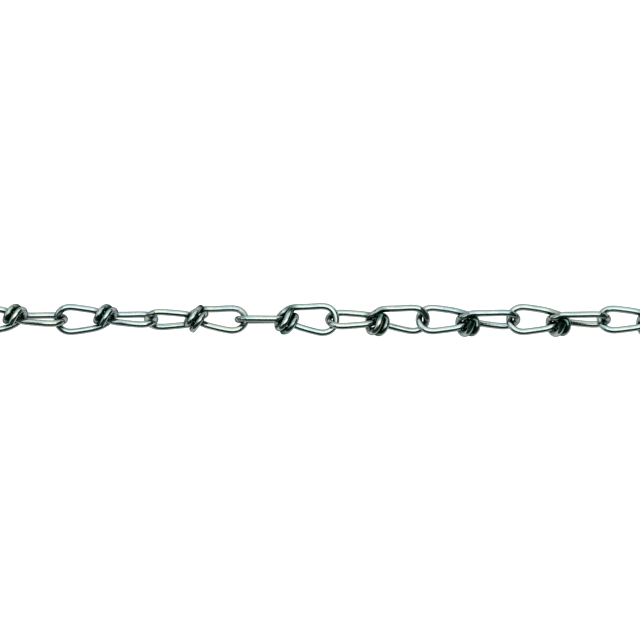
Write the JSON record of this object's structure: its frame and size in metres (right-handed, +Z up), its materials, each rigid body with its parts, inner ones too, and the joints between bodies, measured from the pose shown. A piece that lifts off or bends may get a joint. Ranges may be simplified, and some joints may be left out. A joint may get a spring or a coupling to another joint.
{
  "type": "double loop chain",
  "caption": "Straight length of knotted double loop chain in bright zinc-plated steel wire, for hanging and light tethering.",
  "frame": {"origin": "centre of the bounding box in X and Y, on the floor the chain lies on", "axes": "+X along the straight chain, +Z up from the floor it lies on"},
  "size_m": [1.0172, 0.018, 0.0175],
  "materials": {
    "bright_zinc": "bright zinc plating, glossy, faint draw marks"
  },
  "bodies": {
    "link_01": {"link_01": "bright_zinc"},
    "link_02": {"link_02": "bright_zinc"},
    "link_03": {"link_03": "bright_zinc"},
    "link_04": {"link_04": "bright_zinc"},
    "link_05": {"link_05": "bright_zinc"},
    "link_06": {"link_06": "bright_zinc"},
    "link_07": {"link_07": "bright_zinc"},
    "link_08": {"link_08": "bright_zinc"},
    "link_09": {"link_09": "bright_zinc"},
    "link_10": {"link_10": "bright_zinc"},
    "link_11": {"link_11": "bright_zinc"},
    "link_12": {"link_12": "bright_zinc"},
    "link_13": {"link_13": "bright_zinc"},
    "link_14": {"link_14": "bright_zinc"},
    "link_15": {"link_15": "bright_zinc"},
    "link_16": {"link_16": "bright_zinc"},
    "link_17": {"link_17": "bright_zinc"},
    "link_18": {"link_18": "bright_zinc"},
    "link_19": {"link_19": "bright_zinc"},
    "link_20": {"link_20": "bright_zinc"},
    "link_21": {"link_21": "bright_zinc"},
    "link_22": {"link_22": "bright_zinc"}
  },
  "joints": [
    {"name": "swing_01_02", "type": "hinge", "parent": "link_02", "child": "link_01", "pos_m": [-0.461, 0.00001, 0.00859], "axis": [0, -0.5446, -0.8387], "range_deg": [-75, 75]},
    {"name": "swing_02_03", "type": "hinge", "parent": "link_03", "child": "link_02", "pos_m": [-0.41109, 0.00001, 0.00859], "axis": [0, 0.8387, -0.5446], "range_deg": [-75, 75]},
    {"name": "swing_03_04", "type": "hinge", "parent": "link_04", "child": "link_03", "pos_m": [-0.36519, 0.00001, 0.00859], "axis": [0, -0.5878, 0.809], "range_deg": [-75, 75]},
    {"name": "swing_04_05", "type": "hinge", "parent": "link_05", "child": "link_04", "pos_m": [-0.32331, 0.00001, 0.00859], "axis": [0, -0.9397, -0.342], "range_deg": [-75, 75]},
    {"name": "swing_05_06", "type": "hinge", "parent": "link_06", "child": "link_05", "pos_m": [-0.27339, 0.00001, 0.00859], "axis": [0, 0.342, -0.9397], "range_deg": [-75, 75]},
    {"name": "swing_06_07", "type": "hinge", "parent": "link_07", "child": "link_06", "pos_m": [-0.2315, 0.00001, 0.00859], "axis": [0, 0.9877, -0.1564], "range_deg": [-75, 75]},
    {"name": "swing_07_08", "type": "hinge", "parent": "link_08", "child": "link_07", "pos_m": [-0.1816, 0.00001, 0.00859], "axis": [0, 0.1564, 0.9877], "range_deg": [-75, 75]},
    {"name": "swing_08_09", "type": "hinge", "parent": "link_09", "child": "link_08", "pos_m": [-0.1397, 0.00001, 0.00859], "axis": [0, -0.9272, -0.3746], "range_deg": [-75, 75]},
    {"name": "swing_09_10", "type": "hinge", "parent": "link_10", "child": "link_09", "pos_m": [-0.08979, 0.00001, 0.00859], "axis": [0, 0.3746, -0.9272], "range_deg": [-30, 30]},
    {"name": "swing_10_11", "type": "hinge", "parent": "link_11", "child": "link_10", "pos_m": [-0.0439, 0.00001, 0.00859], "axis": [0, 0.829, -0.5592], "range_deg": [-75, 75]},
    {"name": "swing_11_12", "type": "hinge", "parent": "link_11", "child": "link_12", "pos_m": [-0.002, 0.00001, 0.00859], "axis": [0, -0.5, 0.866], "range_deg": [-30, 30]},
    {"name": "swing_12_13", "type": "hinge", "parent": "link_12", "child": "link_13", "pos_m": [0.04791, 0.00001, 0.00859], "axis": [0, -0.866, -0.5], "range_deg": [-75, 75]},
    {"name": "swing_13_14", "type": "hinge", "parent": "link_13", "child": "link_14", "pos_m": [0.0938, 0.00001, 0.00859], "axis": [0, -0.5, -0.866], "range_deg": [-75, 75]},
    {"name": "swing_14_15", "type": "hinge", "parent": "link_14", "child": "link_15", "pos_m": [0.1357, 0.00001, 0.00859], "axis": [0, 0.809, -0.5878], "range_deg": [-75, 75]},
    {"name": "swing_15_16", "type": "hinge", "parent": "link_15", "child": "link_16", "pos_m": [0.1856, 0.00001, 0.00859], "axis": [0, 0.5878, 0.809], "range_deg": [-75, 75]},
    {"name": "swing_16_17", "type": "hinge", "parent": "link_16", "child": "link_17", "pos_m": [0.2275, 0.00001, 0.00859], "axis": [0, -0.9945, -0.1045], "range_deg": [-75, 75]},
    {"name": "swing_17_18", "type": "hinge", "parent": "link_17", "child": "link_18", "pos_m": [0.27741, 0.00001, 0.00859], "axis": [0, 0.1045, -0.9945], "range_deg": [-75, 75]},
    {"name": "swing_18_19", "type": "hinge", "parent": "link_18", "child": "link_19", "pos_m": [0.31929, 0.00001, 0.00859], "axis": [0, 0.9781, 0.2079], "range_deg": [-75, 75]},
    {"name": "swing_19_20", "type": "hinge", "parent": "link_19", "child": "link_20", "pos_m": [0.36921, 0.00001, 0.00859], "axis": [0, -0.2079, 0.9781], "range_deg": [-75, 75]},
    {"name": "swing_20_21", "type": "hinge", "parent": "link_20", "child": "link_21", "pos_m": [0.41109, 0.00001, 0.00859], "axis": [0, -1, 0], "range_deg": [-75, 75]},
    {"name": "swing_21_22", "type": "hinge", "parent": "link_21", "child": "link_22", "pos_m": [0.461, 0.00001, 0.00859], "axis": [0, 0, -1], "range_deg": [-75, 75]}
  ]
}
